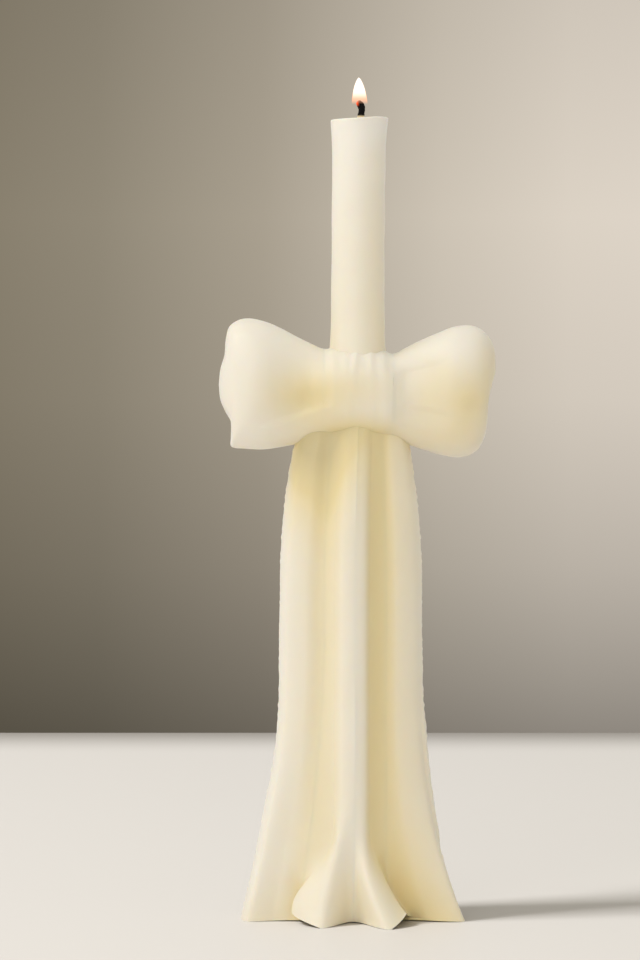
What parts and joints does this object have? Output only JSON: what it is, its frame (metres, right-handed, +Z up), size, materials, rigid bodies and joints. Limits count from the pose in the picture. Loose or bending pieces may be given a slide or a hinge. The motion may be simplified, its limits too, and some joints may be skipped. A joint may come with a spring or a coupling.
{
  "type": "bow taper candle",
  "caption": "Ivory taper candle with a wax ribbon bow round the shaft and pleated ribbon drapes that flare into a flat free-standing foot.",
  "frame": {"origin": "centre of the taper and wick on the flat underside of the foot", "axes": "+Z up along the wick, +X to the right loop, -Y towards the front"},
  "size_m": [0.1033, 0.0562, 0.3063],
  "materials": {
    "wax": "satin ivory wax, slightly translucent",
    "wick": "braided cotton, charred at the exposed end"
  },
  "bodies": {
    "root": {"taper": "wax", "knot": "wax", "left_loop": "wax", "right_loop": "wax", "left_drape": "wax", "right_drape": "wax", "front_left_tail": "wax", "front_right_tail": "wax", "back_left_tail": "wax", "back_right_tail": "wax", "wick": "wick"}
  },
  "joints": []
}
